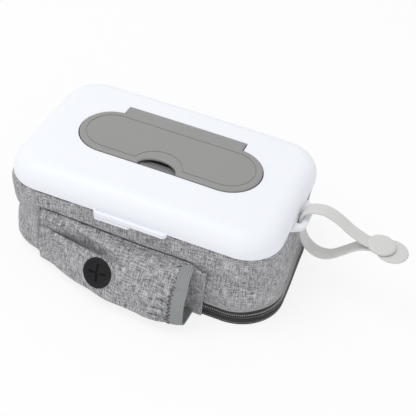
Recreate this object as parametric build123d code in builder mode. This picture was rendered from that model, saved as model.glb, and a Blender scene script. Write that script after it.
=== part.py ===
from build123d import *
import os

os.makedirs("parts", exist_ok=True)

# A wipes case on a zipped fabric pouch, in millimetres.
# Origin at the centre of the case's outline on the rest face, +X to the strap end, +Y to the back, +Z up.

# Case outline and heights
case_length = 200.0
case_width = 125.0
case_corner = 27.0
rim_z = 62.5
lid_height = 16.8
lid_crown_radius = 4600.0
lid_draft = 2.5
lid_edge_radius = 14.0
lid_wall = 1.8
running_gap = 0.3
seal_gap = 0.1
overrun = 1.0

# Pouch outline at the zip, wider than the case at the strap end
pouch_left_over = 1.0
pouch_right_over = 6.0
pouch_corner = 34.0
fabric_thickness = 2.2
lining_thickness = 0.8
wall_top_inset = 0.9
wall_top_below_rim = 1.0

# Base and zip band, from the rest face up
base_thickness = 2.4
board_thickness = 1.6
board_inset = 4.0
tape_thickness = 1.0
tape_bottom_z = 0.5
coil_height = 1.6
coil_proud = 0.7
coil_split_z = 8.1
coil_gap = 1.0
piping_z = 12.8
piping_radius = 1.3
piping_round = 0.9
zip_end_past_corner = 1.0
zip_stop_length = 2.2
zip_stop_gap = 0.2

# Zip slider and pull
slider_start_from_end = 10.0
slider_length = 12.0
slider_width = 6.2
slider_plate = 1.2
slider_gap = 0.25
slider_web = 0.6
slider_corner = 1.6
slider_edge = 0.3
bail_length = 8.0
bail_width = 1.8
bail_bar = 1.1
bail_clear = 2.3
pull_pivot_x = 1.6
pull_bar_radius = 0.7
pull_arm_gap = 0.4
pull_arm_width = 1.3
pull_thickness = 1.1
pull_width = 7.0
pull_reach = 25.0
pull_neck = 7.4
pull_corner = 2.2
pull_eye_radius = 1.3
pull_edge = 0.25

# Wipes tray
tray_depth = 29.0
tray_wall = 1.6
tray_inset = 8.0
tray_floor_radius = 4.0
flange_thickness = 2.6
flange_gap = 0.4
seal_inset = 5.2
seal_width = 2.4
seal_height = 1.2
seal_rib_width = 1.2

# Thumb lip, catch tab and strap lug
lip_length = 54.0
lip_reach = 3.6
lip_thickness = 2.1
lip_drop = 1.4
lip_corner = 3.2
lip_bead_width = 1.4
lip_bead_height = 0.9
catch_left = 26.0
catch_right = 0.5
catch_reach = 4.0
catch_thickness = 2.0
lug_root_length = 40.0
lug_tip_length = 24.0
lug_reach = 8.0
lug_thickness = 3.0
lug_corner = 8.0
slot_inner_reach = 0.8
slot_width = 2.8
slot_length = 17.0

# Lid hinge
lid_hinge_reach = 3.6
lid_barrel_radius = 2.8
lid_pin_radius = 1.2
pin_clearance = 0.06
hinge_station_x = 55.0
lid_knuckle_length = 9.6
tray_knuckle_length = 4.0
knuckle_gap = 0.4
knuckle_notch_height = 3.8

# Flip door
door_length = 137.0
door_width = 48.0
door_y = 2.0
door_thickness = 2.2
door_proud = 0.9
door_gap = 0.7
door_tail_gap = 0.7
door_edge_round = 1.4
door_under_chamfer = 0.5
tail_length = 92.0
tail_reach = 5.2
door_barrel_radius = 3.9
door_pin_radius = 0.7
notch_x = -0.5
notch_half_width = 14.2
notch_depth = 9.8
bead_width = 4.6
bead_groove_width = 0.7
bead_groove_depth = 0.35
bead_arch_radius = 18.2

# Door frame under the lid
frame_wall = 1.6
frame_recess = 7.4
frame_flange = 1.4
frame_flange_width = 3.0
outlet_length = 88.0
outlet_width = 20.0
outlet_y = 5.0
outlet_lip_width = 1.4
outlet_lip_below = 3.2
ledge_length = 30.0
ledge_steps = [(5.4, 2.0), (4.6, 3.4)]
ledge_rib_pitch = 1.5
ledge_rib_width = 0.7
ledge_rib_height = 0.25

# Bag roll pocket on the front
pocket_left = -69.0
pocket_right = 58.0
pocket_top_z = 45.5
pocket_bottom_z = 0.8
panel_thickness = 1.2
sleeve_top_z = 43.5
sleeve_bottom_z = 4.4
sleeve_wall = 1.4
sleeve_reach = [
    (-69.0, 1.8), (-48.0, 10.0), (-30.0, 17.4), (-14.0, 20.4), (6.0, 22.6), (25.0, 23.8), (50.0, 21.6),
]
sleeve_hollow_from = 1
sleeve_shoulder = 0.78
sleeve_shoulder_z = 29.0
sleeve_nose_z = 11.5
sleeve_belly = 0.84
sleeve_belly_z = 6.6
binding_width = 10.5
binding_thickness = 0.9
binding_overhang = 0.6

# Rubber outlet in the pocket's front
outlet_x = -14.0
outlet_along_arc = 0.62
grommet_radius = 11.0
grommet_thickness = 1.8
grommet_round = 0.8
grommet_neck_radius = 8.0
grommet_neck_length = 5.0
grommet_neck_wall = 1.4
grommet_membrane = 1.0
grommet_hole_gap = 0.25
slit_length = 12.0
slit_width = 0.5
washer_radius = 9.6
washer_thickness = 1.0
washer_depth = 3.6

# Silicone strap, looped through the lug; its route is x and z from the middle of the slot
strap_width = 11.0
strap_thickness = 1.6
strap_route = [
    (57.8, -2.5), (47.8, -2.5), (35.8, 2.3), (25.8, 8.3), (15.8, 11.7), (6.4, 9.9),
    (1.2, 5.3), (0.0, 0.0), (0.7, -6.7), (3.0, -14.7), (7.8, -22.3), (15.8, -26.7),
    (24.8, -25.3), (33.8, -17.6), (42.8, -9.2), (51.8, -5.3), (60.0, -4.5), (65.8, -4.5),
]
button_radius = 10.0
button_thickness = 2.6
tab_past_button = 8.0
tab_radius = 11.5
tab_thickness = 2.0
stud_radius = 2.6

# Places worked out from the sizes above
lid_top = rim_z + lid_height
pouch_left = case_length / 2 + pouch_left_over
pouch_right = case_length / 2 + pouch_right_over
pouch_length = pouch_left + pouch_right
pouch_centre_x = (pouch_right - pouch_left) / 2
pouch_width = case_width
pouch_front = -pouch_width / 2
zip_end_x = pouch_corner - pouch_left + zip_end_past_corner
slider_start_x = zip_end_x + slider_start_from_end
case_front = -case_width / 2
wall_top_z = rim_z - wall_top_below_rim
flange_inset = lid_wall + flange_gap
flange_top = wall_top_z + flange_thickness
tray_bottom = rim_z - tray_depth
lower_coil_top = coil_split_z - coil_gap / 2
upper_coil_bottom = coil_split_z + coil_gap / 2
coil_depth = tape_thickness + coil_proud
door_top = lid_top + door_proud
door_under = door_top - door_thickness
door_hinge_y = door_y + door_width / 2 + tail_reach
door_hinge_z = door_top - door_barrel_radius
frame_floor = lid_top - frame_recess
frame_under = frame_floor - frame_wall
outlet_lip_top = lid_top - outlet_lip_below
door_front = door_y - door_width / 2 - door_gap
lid_hinge_y = case_width / 2 + lid_hinge_reach
lug_top = rim_z - running_gap
lip_bottom = rim_z - lip_drop
lip_top = lip_bottom + lip_thickness
slot_x = case_length / 2 + slot_inner_reach + slot_width / 2
slot_z = lug_top - lug_thickness / 2
button_x = slot_x + strap_route[0][0]
button_z = slot_z + strap_route[0][1]
tab_x = button_x + tab_past_button
tab_z = slot_z + strap_route[-1][1]
half_pin = lid_knuckle_length / 2 + knuckle_gap + tray_knuckle_length
panel_front = pouch_front - coil_proud - running_gap - panel_thickness


def case_outline(z, inset=0.0):
    with BuildSketch(Plane.XY.offset(z)) as outline:
        RectangleRounded(case_length - 2 * inset, case_width - 2 * inset, case_corner - inset)
    return outline.sketch


def pouch_outline(z, inset=0.0):
    with BuildSketch(Plane.XY.offset(z)) as outline:
        with Locations((pouch_centre_x, 0)):
            RectangleRounded(pouch_length - 2 * inset, pouch_width - 2 * inset, pouch_corner - inset)
    return outline.sketch


def ring(outline, low, high, outer, inner):
    extrude(outline(low, outer), amount=high - low)
    extrude(outline(low, inner), amount=high - low, mode=Mode.SUBTRACT)


def keep_right_of(x):
    split(bisect_by=Plane.YZ.offset(x), keep=Keep.TOP)


def keep_left_of(x):
    split(bisect_by=Plane.YZ.offset(x), keep=Keep.BOTTOM)


def bar_along_x(y, z, radius, x_low, x_high, mode=Mode.ADD):
    with BuildSketch(Plane.YZ.offset(x_low)) as section:
        with Locations((y, z)):
            Circle(radius)
    extrude(section.sketch, amount=x_high - x_low, mode=mode)


def block(x_low, x_high, y_low, y_high, z_low, z_high, mode=Mode.ADD):
    with BuildSketch(Plane.XY.offset(z_low)) as plan:
        with Locations(((x_low + x_high) / 2, (y_low + y_high) / 2)):
            Rectangle(x_high - x_low, y_high - y_low)
    extrude(plan.sketch, amount=z_high - z_low, mode=mode)


# Base panel, its board, and the lower half of the zip
with BuildPart() as base_panel:
    extrude(pouch_outline(0, tape_thickness), amount=base_thickness)

with BuildPart() as base_board:
    extrude(pouch_outline(base_thickness, board_inset), amount=board_thickness)

with BuildPart() as zip_tape_lower:
    ring(pouch_outline, tape_bottom_z, lower_coil_top - coil_height, 0, tape_thickness)
    keep_right_of(zip_end_x)

with BuildPart() as zip_coil_lower:
    ring(pouch_outline, lower_coil_top - coil_height, lower_coil_top, -coil_proud, coil_depth)
    keep_right_of(zip_end_x + zip_stop_length + zip_stop_gap)

with BuildPart() as hinge_gusset:
    ring(pouch_outline, tape_bottom_z, piping_z - running_gap, 0, tape_thickness)
    keep_left_of(zip_end_x - running_gap)


def zip_stops(low, high):
    with BuildPart() as stops:
        ring(pouch_outline, low, high, -coil_proud, coil_depth)
        keep_right_of(zip_end_x)
        keep_left_of(zip_end_x + zip_stop_length)
    return stops


zip_stops_lower = zip_stops(lower_coil_top - coil_height, lower_coil_top)
zip_stops_upper = zip_stops(upper_coil_bottom, upper_coil_bottom + coil_height)

# Upper half of the zip and its piping
with BuildPart() as zip_coil_upper:
    ring(pouch_outline, upper_coil_bottom, upper_coil_bottom + coil_height, -coil_proud, coil_depth)
    keep_right_of(zip_end_x + zip_stop_length + zip_stop_gap)

with BuildPart() as zip_tape_upper:
    ring(pouch_outline, upper_coil_bottom + coil_height, piping_z, 0, tape_thickness)
    keep_right_of(zip_end_x)

with BuildPart() as zip_piping:
    ring(pouch_outline, piping_z - piping_radius, piping_z + piping_radius, -piping_radius, 0)
    outer_edges = [face.outer_wire().edges() for face in zip_piping.faces().filter_by(Axis.Z)]
    fillet(outer_edges[0] + outer_edges[1], piping_round)
    keep_right_of(zip_end_x)
    block(
        zip_end_x - overrun, pocket_right + running_gap, pouch_front - 2 * piping_radius, 0,
        piping_z - 2 * piping_radius, piping_z + 2 * piping_radius, Mode.SUBTRACT,
    )

# Pouch wall and lining, open at the lug and the catch tab
def wall_cup(outer, inner):
    loft([pouch_outline(piping_z, outer), case_outline(wall_top_z, wall_top_inset + outer)])
    hollow_ends = [pouch_outline(piping_z, inner), case_outline(wall_top_z, wall_top_inset + inner)]
    loft(hollow_ends, mode=Mode.SUBTRACT)


with BuildPart() as pouch_wall:
    wall_cup(0, fabric_thickness)
    block(
        case_length / 2 - flange_inset - fabric_thickness, pouch_right, -lug_root_length / 2 - running_gap,
        lug_root_length / 2 + running_gap, lug_top - lug_thickness - running_gap, wall_top_z, Mode.SUBTRACT,
    )
    block(
        -catch_left - running_gap, catch_right + running_gap, case_front, case_front + tray_inset,
        rim_z - lip_drop - 2 * running_gap - catch_thickness, wall_top_z, Mode.SUBTRACT,
    )

with BuildPart() as pouch_lining:
    wall_cup(fabric_thickness, fabric_thickness + lining_thickness)
    block(
        case_length / 2 - tray_inset, pouch_right, -lug_root_length / 2 - running_gap,
        lug_root_length / 2 + running_gap, lug_top - lug_thickness - running_gap, wall_top_z, Mode.SUBTRACT,
    )
    block(
        -catch_left - running_gap, catch_right + running_gap, case_front, case_front + tray_inset,
        rim_z - lip_drop - 2 * running_gap - catch_thickness, wall_top_z, Mode.SUBTRACT,
    )

# Wipes tray with its flange, strap lug, catch tab and hinge knuckles
with BuildPart() as tray_hollow:
    extrude(case_outline(tray_bottom + tray_wall, tray_inset + tray_wall), amount=flange_top - tray_bottom)
    fillet(tray_hollow.faces().sort_by(Axis.Z)[0].edges(), tray_floor_radius - tray_wall)

with BuildPart() as case_tray:
    extrude(case_outline(tray_bottom, tray_inset), amount=wall_top_z - tray_bottom)
    fillet(case_tray.faces().sort_by(Axis.Z)[0].edges(), tray_floor_radius)
    extrude(case_outline(wall_top_z, flange_inset), amount=flange_thickness)

    lug_root_x = case_length / 2 - tray_inset - tray_wall
    lug_tip_x = case_length / 2 + lug_reach
    with BuildSketch(Plane.XY.offset(lug_top - lug_thickness)) as lug_plan:
        with BuildLine():
            Polyline(
                (lug_root_x, -lug_root_length / 2), (case_length / 2 - lug_corner / 2, -lug_root_length / 2),
                (lug_tip_x, -lug_tip_length / 2), (lug_tip_x, lug_tip_length / 2),
                (case_length / 2 - lug_corner / 2, lug_root_length / 2), (lug_root_x, lug_root_length / 2),
                close=True,
            )
        make_face()
        fillet(lug_plan.vertices().group_by(Axis.X)[-1], lug_corner)
    extrude(amount=lug_thickness)

    block(
        -catch_left, catch_right, case_front + flange_inset, case_front + tray_inset + tray_wall,
        rim_z - lip_drop - running_gap - catch_thickness, wall_top_z,
    )
    with BuildSketch(Plane.XY.offset(rim_z - lip_drop - running_gap - catch_thickness)) as catch_plan:
        with Locations(((catch_right - catch_left) / 2, case_front)):
            Rectangle(catch_left + catch_right, 2 * catch_reach)
        fillet(catch_plan.vertices().group_by(Axis.Y)[0], catch_reach / 2)
    extrude(amount=catch_thickness)

    for station_x in (-hinge_station_x, hinge_station_x):
        for side in (-1, 1):
            near = lid_knuckle_length / 2 + knuckle_gap
            x_low, x_high = sorted((station_x + side * near, station_x + side * (near + tray_knuckle_length)))
            bar_along_x(lid_hinge_y, rim_z, lid_barrel_radius, x_low, x_high)
            block(x_low, x_high, case_width / 2 - flange_inset - overrun, lid_hinge_y, wall_top_z, flange_top)
        bar_along_x(
            lid_hinge_y, rim_z, lid_pin_radius, station_x - half_pin, station_x + half_pin, Mode.SUBTRACT
        )
    add(tray_hollow.part, mode=Mode.SUBTRACT)
    with BuildSketch(Plane.XY.offset(lug_top)) as slot_plan:
        with Locations((slot_x, 0)):
            SlotOverall(slot_length, slot_width, rotation=90)
    extrude(amount=-lug_thickness, mode=Mode.SUBTRACT)
    slot_edges = case_tray.edges().filter_by(GeomType.LINE).filter_by(Axis.Y).filter_by_position(
        Axis.X, slot_x - slot_width, slot_x + slot_width
    )
    chamfer(slot_edges, lug_thickness / 2 - running_gap)

with BuildPart() as lid_seal:
    ring(case_outline, flange_top, flange_top + seal_height, seal_inset, seal_inset + seal_width)

with BuildPart() as lid_hinge_pins:
    for station_x in (-hinge_station_x, hinge_station_x):
        bar_along_x(lid_hinge_y, rim_z, lid_pin_radius, station_x - half_pin, station_x + half_pin)


# Case lid: a drafted shell with a slightly arched top, opened for the door
def lid_form(inset):
    with BuildPart() as form:
        extrude(case_outline(rim_z, inset), amount=lid_height - inset + overrun, taper=lid_draft)
        with Locations((0, 0, lid_top - lid_crown_radius)):
            Cylinder(lid_crown_radius - inset, 2 * case_width, rotation=(90, 0, 0), mode=Mode.INTERSECT)
        fillet(form.faces().sort_by(Axis.Z)[-1].edges(), lid_edge_radius - inset)
    return form.part


def door_outline(z, grow, tail_end):
    with BuildSketch(Plane.XY.offset(z)) as outline:
        with Locations((0, door_y)):
            SlotOverall(door_length + 2 * grow, door_width + 2 * grow)
        with Locations((0, (door_y + tail_end) / 2)):
            Rectangle(tail_length + 2 * grow, tail_end - door_y)
    return outline.sketch


def lip_outline(z, inset, back):
    front = case_front - lip_reach + inset
    with BuildSketch(Plane.XY.offset(z)) as outline:
        with Locations((0, (front + back) / 2)):
            Rectangle(lip_length - 2 * inset, back - front)
        fillet(outline.vertices().group_by(Axis.Y)[0], lip_corner - inset)
    return outline.sketch


lid_outside = lid_form(0)
lid_inside = lid_form(lid_wall)
opening_back = door_hinge_y + door_barrel_radius + door_tail_gap

with BuildPart() as lid_seal_rib:
    rib_inset = seal_inset + (seal_width - seal_rib_width) / 2
    ring(case_outline, flange_top + seal_height + seal_gap, lid_top, rib_inset, rib_inset + seal_rib_width)
    add(lid_inside, mode=Mode.INTERSECT)

with BuildPart() as case_lid:
    add(lid_outside)
    extrude(lip_outline(lip_bottom, 0, case_front), amount=lip_thickness)
    extrude(lip_outline(rim_z, 0, case_front + lid_wall / 2), amount=lip_top + lip_bead_height - rim_z)
    extrude(lip_outline(lip_top, lip_bead_width, case_front), amount=lip_bead_height, mode=Mode.SUBTRACT)
    for station_x in (-hinge_station_x, hinge_station_x):
        for side in (-1, 1):
            near = lid_knuckle_length / 2
            far = near + 2 * knuckle_gap + tray_knuckle_length
            x_low, x_high = sorted((station_x + side * near, station_x + side * far))
            block(
                x_low, x_high, case_width / 2 - flange_inset - lid_wall, lid_hinge_y,
                rim_z, rim_z + knuckle_notch_height, Mode.SUBTRACT,
            )
        x_low, x_high = station_x - lid_knuckle_length / 2, station_x + lid_knuckle_length / 2
        bar_along_x(lid_hinge_y, rim_z, lid_barrel_radius, x_low, x_high)
        block(
            x_low, x_high, case_width / 2 - lid_wall / 2, lid_hinge_y,
            rim_z + lid_pin_radius / 2, rim_z + lid_barrel_radius,
        )
        bar_along_x(lid_hinge_y, rim_z, lid_pin_radius + pin_clearance, x_low, x_high, Mode.SUBTRACT)
    add(lid_inside, mode=Mode.SUBTRACT)
    add(lid_seal_rib.part)
    extrude(door_outline(frame_floor, door_gap, opening_back), amount=lid_height, mode=Mode.SUBTRACT)

# Door frame: a recessed insert with the wipes outlet, the grip ledge and the ends of the door hinge
with BuildPart() as door_frame:
    flange_grow = door_gap + frame_wall + frame_flange_width
    extrude(
        door_outline(lid_top - lid_wall - frame_flange, flange_grow, opening_back + flange_grow - door_gap),
        amount=lid_wall + frame_flange,
    )
    frame_outside = door_outline(frame_under, door_gap + frame_wall, opening_back + frame_wall)
    extrude(frame_outside, amount=lid_top - frame_under)
    add(lid_inside, mode=Mode.INTERSECT)
    extrude(door_outline(frame_floor, door_gap, opening_back), amount=lid_height, mode=Mode.SUBTRACT)
    with BuildSketch(Plane.XY.offset(frame_floor)) as lip_ring:
        with Locations((0, outlet_y)):
            SlotOverall(outlet_length + 2 * outlet_lip_width, outlet_width + 2 * outlet_lip_width)
    extrude(amount=outlet_lip_top - frame_floor)
    with BuildSketch(Plane.XY.offset(frame_under)) as outlet_plan:
        with Locations((0, outlet_y)):
            SlotOverall(outlet_length, outlet_width)
    extrude(amount=lid_top - frame_under, mode=Mode.SUBTRACT)
    step_front = door_front
    for step_depth, step_below in ledge_steps:
        step_top = lid_top - step_below
        block(
            notch_x - ledge_length / 2, notch_x + ledge_length / 2, step_front, step_front + step_depth,
            frame_floor, step_top,
        )
        with BuildSketch(Plane.XY.offset(step_top)) as ribs:
            with Locations((notch_x, step_front + step_depth / 2)):
                with GridLocations(ledge_rib_pitch, 0, int(ledge_length / ledge_rib_pitch), 1):
                    Rectangle(ledge_rib_width, step_depth)
        extrude(amount=ledge_rib_height)
        step_front = step_front + step_depth
    pin_half = tail_length / 2 + door_gap + frame_wall
    bar_along_x(door_hinge_y, door_hinge_z, door_pin_radius, -pin_half, pin_half, Mode.SUBTRACT)

with BuildPart() as door_hinge_pin:
    bar_along_x(door_hinge_y, door_hinge_z, door_pin_radius, -pin_half, pin_half)

# Flip door: beaded edge, finger notch in front, rounded hinge tail behind
with BuildPart() as flip_door:
    extrude(door_outline(door_under, 0, door_hinge_y), amount=door_thickness)
    with BuildSketch(Plane.XY.offset(door_under)) as notch_plan:
        with Locations((notch_x, door_y - door_width / 2)):
            Ellipse(notch_half_width, notch_depth)
    extrude(amount=door_thickness, mode=Mode.SUBTRACT)
    chamfer(flip_door.faces().sort_by(Axis.Z)[0].edges(), door_under_chamfer)
    front_edges = flip_door.faces().sort_by(Axis.Z)[-1].edges().sort_by(Axis.Y)[:-1]
    fillet(front_edges, door_edge_round)
    bar_along_x(door_hinge_y, door_hinge_z, door_barrel_radius, -tail_length / 2, tail_length / 2)
    bore_radius = door_pin_radius + pin_clearance
    bar_along_x(door_hinge_y, door_hinge_z, bore_radius, -tail_length / 2, tail_length / 2, Mode.SUBTRACT)


def bead_line(inset):
    with BuildSketch(Plane.XY.offset(door_top)) as line:
        with Locations((0, door_y)):
            SlotOverall(door_length - 2 * inset, door_width - 2 * inset)
        with Locations((notch_x, door_y - door_width / 2)):
            Circle(bead_arch_radius + inset - bead_width, mode=Mode.SUBTRACT)
    return line.sketch


with BuildPart() as bead_groove:
    extrude(bead_line(bead_width), amount=-bead_groove_depth)
    extrude(bead_line(bead_width + bead_groove_width), amount=-bead_groove_depth, mode=Mode.SUBTRACT)

with BuildPart() as grooved_door:
    add(flip_door.part)
    add(bead_groove.part, mode=Mode.SUBTRACT)

with BuildPart() as door_seal:
    with BuildSketch(Plane.XY.offset(outlet_lip_top + seal_gap)) as seal_plan:
        with Locations((0, outlet_y)):
            SlotOverall(outlet_length + 2 * outlet_lip_width, outlet_width + 2 * outlet_lip_width)
            SlotOverall(outlet_length, outlet_width, mode=Mode.SUBTRACT)
    extrude(amount=door_under - outlet_lip_top - seal_gap)

# Pocket panel on the front wall; its lower edge hangs free over the zip
with BuildPart() as pocket_backing:
    panel_back = panel_front + panel_thickness
    sewn_from_z = piping_z + piping_radius + running_gap
    block(pocket_left, pocket_right, panel_front, panel_back, pocket_bottom_z, pocket_top_z)
    block(pocket_left, pocket_right, panel_front, pouch_front, sewn_from_z, pocket_top_z)


# Pocket sleeve: a gathered tube that stands off the panel, open at its right end
def sleeve_section(x, reach, grow):
    low = sleeve_bottom_z - grow
    high = sleeve_top_z + grow
    with BuildSketch(Plane.YZ.offset(x)) as section:
        with BuildLine():
            Line((panel_front, low), (panel_front, high))
            ThreePointArc(
                (panel_front, high),
                (panel_front - (reach + grow) * sleeve_shoulder, sleeve_shoulder_z + grow / 2),
                (panel_front - reach - grow, sleeve_nose_z),
            )
            ThreePointArc(
                (panel_front - reach - grow, sleeve_nose_z),
                (panel_front - (reach + grow) * sleeve_belly, sleeve_belly_z - grow / 2),
                (panel_front, low),
            )
        make_face()
    return section.sketch


with BuildPart() as sleeve_outside:
    loft([sleeve_section(x, reach, 0) for x, reach in sleeve_reach])

with BuildPart() as sleeve_hollow:
    loft([sleeve_section(x, reach, -sleeve_wall) for x, reach in sleeve_reach[sleeve_hollow_from:]])
    extrude(sleeve_section(*sleeve_reach[-1], -sleeve_wall), amount=2 * binding_overhang)

# The rubber outlet sits square to the sleeve's front
outlet_reach = dict(sleeve_reach)[outlet_x]
outlet_slope = (sleeve_reach[4][1] - sleeve_reach[2][1]) / (sleeve_reach[4][0] - sleeve_reach[2][0])
outlet_arc = ThreePointArc(
    (outlet_x, panel_front, sleeve_top_z),
    (outlet_x, panel_front - outlet_reach * sleeve_shoulder, sleeve_shoulder_z),
    (outlet_x, panel_front - outlet_reach, sleeve_nose_z),
)
outlet_centre = outlet_arc.position_at(outlet_along_arc)
outlet_across = Vector(1, -outlet_slope, 0)
outlet_normal = outlet_arc.tangent_at(outlet_along_arc).cross(outlet_across)
outlet_plane = Plane(origin=outlet_centre, x_dir=outlet_across, z_dir=outlet_normal)
outlet_axis = Axis(outlet_centre, outlet_normal)


def disc(offset_out, radius, thickness, mode=Mode.ADD):
    with BuildSketch(outlet_plane.offset(offset_out)) as plan:
        Circle(radius)
    extrude(plan.sketch, amount=thickness, mode=mode)


with BuildPart() as pocket_sleeve:
    add(sleeve_outside.part)
    add(sleeve_hollow.part, mode=Mode.SUBTRACT)
    disc(-grommet_neck_length, grommet_neck_radius + grommet_hole_gap, 2 * grommet_neck_length, Mode.SUBTRACT)

with BuildPart() as pocket_binding:
    binding_right = sleeve_reach[-1][0] + binding_overhang
    loft([
        sleeve_section(binding_right - binding_width, sleeve_reach[-2][1], binding_thickness),
        sleeve_section(binding_right, sleeve_reach[-1][1], binding_thickness),
    ])
    add(sleeve_outside.part, mode=Mode.SUBTRACT)
    add(sleeve_hollow.part, mode=Mode.SUBTRACT)

with BuildPart() as outlet_grommet:
    disc(running_gap, grommet_radius, grommet_thickness)
    fillet(outlet_grommet.faces().sort_by(outlet_axis)[-1].edges(), grommet_round)
    disc(running_gap - grommet_neck_length, grommet_neck_radius, grommet_neck_length)
    disc(
        running_gap - grommet_neck_length, grommet_neck_radius - grommet_neck_wall,
        grommet_neck_length + grommet_thickness - grommet_membrane, Mode.SUBTRACT,
    )
    for turn in (0, 90):
        with BuildSketch(outlet_plane.offset(running_gap)) as slit:
            Rectangle(slit_length, slit_width, rotation=turn)
        extrude(slit.sketch, amount=grommet_thickness, mode=Mode.SUBTRACT)

with BuildPart() as outlet_washer:
    disc(-washer_depth - washer_thickness, washer_radius, washer_thickness)
    disc(-washer_depth - washer_thickness, grommet_neck_radius, washer_thickness, Mode.SUBTRACT)

# Hand strap: one moulded band, its ends buttoned together
with BuildPart() as hand_strap:
    with BuildSketch(Plane.XZ) as strap_side:
        with BuildLine() as strap_line:
            Spline(*[(slot_x + x, slot_z + z) for x, z in strap_route])
        trace(line_width=strap_thickness)
    extrude(amount=strap_width / 2, both=True)
    with BuildSketch(Plane.XY.offset(button_z - strap_thickness / 2)) as button_plan:
        with Locations((button_x, 0)):
            Circle(button_radius)
    extrude(amount=button_thickness)
    with BuildSketch(Plane.XY.offset(tab_z + strap_thickness / 2)) as tab_plan:
        with Locations((tab_x, 0)):
            Circle(tab_radius)
    extrude(amount=-tab_thickness)
    with BuildSketch(Plane.XY.offset(tab_z)) as stud_plan:
        with Locations((button_x, 0)):
            Circle(stud_radius)
    extrude(amount=button_z - tab_z)

# Zip slider on the back run: two plates round both coils, joined through the gap between them
plate_out = pouch_width / 2 + coil_proud + slider_gap
plate_in = pouch_width / 2 - tape_thickness - coil_proud - slider_gap
slider_left = slider_start_x - slider_length / 2
slider_right = slider_start_x + slider_length / 2
bail_y = plate_out + slider_plate

with BuildPart() as zip_slider:
    for face_y in (bail_y, plate_in):
        with BuildSketch(Plane.XZ.offset(-face_y)) as plate:
            with Locations((slider_start_x, coil_split_z)):
                RectangleRounded(slider_length, slider_width, slider_corner)
        extrude(amount=slider_plate)
    fillet(zip_slider.faces().sort_by(Axis.Y)[-1].edges(), slider_edge)
    block(
        slider_left, slider_right, plate_in, plate_out,
        coil_split_z - slider_web / 2, coil_split_z + slider_web / 2,
    )
    with BuildSketch(Plane.XY.offset(coil_split_z - bail_width / 2)) as bail:
        with Locations((slider_start_x, bail_y + (bail_clear + bail_bar) / 2)):
            Rectangle(bail_length, bail_clear + bail_bar)
        fillet(bail.vertices().group_by(Axis.Y)[-1], bail_bar)
        with Locations((slider_start_x, bail_y + bail_clear / 2)):
            Rectangle(bail_length - 2 * bail_bar, bail_clear, mode=Mode.SUBTRACT)
    extrude(amount=bail_width)

pivot_x = slider_start_x + pull_pivot_x
pivot_y = bail_y + bail_clear / 2
arm_inner = bail_width / 2 + pull_arm_gap

with BuildPart() as zip_pull:
    with BuildSketch(Plane.XZ.offset(-pivot_y - pull_thickness / 2)) as pull_face:
        with Locations((pivot_x - (pull_neck + pull_reach) / 2, coil_split_z)):
            RectangleRounded(pull_reach - pull_neck, pull_width, pull_corner)
        with Locations((pivot_x - pull_reach + pull_width / 2, coil_split_z)):
            Circle(pull_eye_radius, mode=Mode.SUBTRACT)
    extrude(amount=pull_thickness)
    fillet(zip_pull.faces().filter_by(Axis.Y).edges(), pull_edge)
    pull_in = pivot_y - pull_thickness / 2
    pull_out = pivot_y + pull_thickness / 2
    for arm_z in (coil_split_z - arm_inner - pull_arm_width, coil_split_z + arm_inner):
        block(
            pivot_x - pull_neck - pull_corner, pivot_x, pull_in + pull_edge / 2, pull_out - pull_edge / 2,
            arm_z, arm_z + pull_arm_width,
        )
    with BuildSketch(Plane.XY.offset(coil_split_z - arm_inner - pull_arm_width)) as pull_bar:
        with Locations((pivot_x, pivot_y)):
            Circle(pull_bar_radius)
    extrude(amount=2 * (arm_inner + pull_arm_width))

pieces = {
    "base_panel": base_panel,
    "base_board": base_board,
    "zip_tape_lower": zip_tape_lower,
    "zip_coil_lower": zip_coil_lower,
    "zip_stops_lower": zip_stops_lower,
    "hinge_gusset": hinge_gusset,
    "pouch_wall": pouch_wall,
    "pouch_lining": pouch_lining,
    "zip_tape_upper": zip_tape_upper,
    "zip_coil_upper": zip_coil_upper,
    "zip_stops_upper": zip_stops_upper,
    "zip_piping": zip_piping,
    "pocket_backing": pocket_backing,
    "pocket_sleeve": pocket_sleeve,
    "pocket_binding": pocket_binding,
    "outlet_grommet": outlet_grommet,
    "outlet_washer": outlet_washer,
    "case_tray": case_tray,
    "lid_seal": lid_seal,
    "lid_hinge_pins": lid_hinge_pins,
    "case_lid": case_lid,
    "door_frame": door_frame,
    "door_hinge_pin": door_hinge_pin,
    "flip_door": grooved_door,
    "door_seal": door_seal,
    "hand_strap": hand_strap,
    "zip_slider": zip_slider,
    "zip_pull": zip_pull,
}
for name, piece in pieces.items():
    piece.part.label = name
    export_step(piece.part, "parts/" + name + ".step")
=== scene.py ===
import bpy
import math
import numpy as np
from mathutils import Matrix, Vector


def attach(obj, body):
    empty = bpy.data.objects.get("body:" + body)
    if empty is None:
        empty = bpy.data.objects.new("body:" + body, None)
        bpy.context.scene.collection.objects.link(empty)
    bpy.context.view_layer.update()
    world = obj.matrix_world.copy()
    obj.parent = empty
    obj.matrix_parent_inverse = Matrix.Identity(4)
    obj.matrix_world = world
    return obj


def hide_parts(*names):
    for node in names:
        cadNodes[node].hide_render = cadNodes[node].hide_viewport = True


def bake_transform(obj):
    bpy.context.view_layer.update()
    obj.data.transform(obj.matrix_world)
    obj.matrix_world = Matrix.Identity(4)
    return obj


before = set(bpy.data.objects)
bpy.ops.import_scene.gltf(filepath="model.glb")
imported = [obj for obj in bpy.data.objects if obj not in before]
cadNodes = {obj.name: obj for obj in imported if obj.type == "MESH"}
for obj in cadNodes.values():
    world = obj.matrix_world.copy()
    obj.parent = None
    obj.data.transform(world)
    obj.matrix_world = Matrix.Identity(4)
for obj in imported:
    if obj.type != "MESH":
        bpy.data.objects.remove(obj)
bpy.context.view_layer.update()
print("frame loaded")

# everything below is drawn in millimetres and scaled once, when a mesh is made
mm = 0.001


def rise(x, low, high):
    t = np.clip((np.asarray(x, float) - low) / (high - low), 0, 1)
    return t * t * (3 - 2 * t)


def fall(x, low, high):
    return 1 - rise(x, low, high)


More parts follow.
